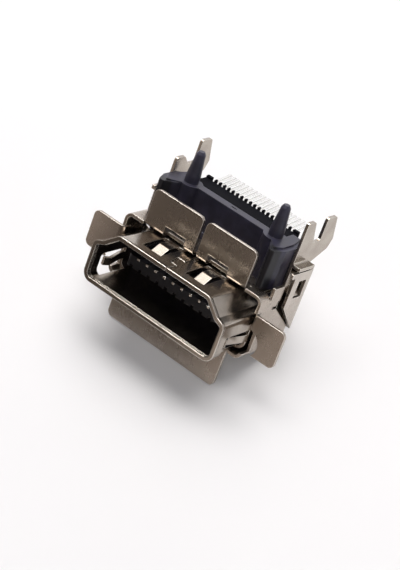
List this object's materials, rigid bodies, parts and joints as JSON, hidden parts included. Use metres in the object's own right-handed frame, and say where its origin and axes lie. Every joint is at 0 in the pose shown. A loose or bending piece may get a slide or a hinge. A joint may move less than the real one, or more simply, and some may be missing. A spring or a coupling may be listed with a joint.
{
  "type": "audio-video board socket",
  "caption": "Board-mounted audio-video socket: D-shaped folded shell with a contact tongue, shield with grounding flaps, rear cover, black moulding with locating pegs and solder tails.",
  "frame": {"origin": "midway between the two locating pegs, on the plane that seats on the board", "axes": "+X across the mouth, +Y into the socket, +Z towards the board"},
  "size_m": [0.0218, 0.0135, 0.0167],
  "materials": {
    "shell_metal": "satin nickel-plated sheet",
    "shield_metal": "satin nickel-plated sheet",
    "cover_metal": "satin nickel-plated sheet",
    "housing_plastic": "moulded black, fine grain",
    "aligner_plastic": "moulded black, fine grain",
    "contact_metal": "bright tin plate over copper alloy"
  },
  "bodies": {
    "root": {"inner_shell": "shell_metal", "outer_shield": "shield_metal", "rear_cover": "cover_metal", "housing": "housing_plastic", "tail_aligner": "aligner_plastic", "contact_01": "contact_metal", "contact_02": "contact_metal", "contact_03": "contact_metal", "contact_04": "contact_metal", "contact_05": "contact_metal", "contact_06": "contact_metal", "contact_07": "contact_metal", "contact_08": "contact_metal", "contact_09": "contact_metal", "contact_10": "contact_metal", "contact_11": "contact_metal", "contact_12": "contact_metal", "contact_13": "contact_metal", "contact_14": "contact_metal", "contact_15": "contact_metal", "contact_16": "contact_metal", "contact_17": "contact_metal", "contact_18": "contact_metal", "contact_19": "contact_metal"}
  },
  "joints": []
}
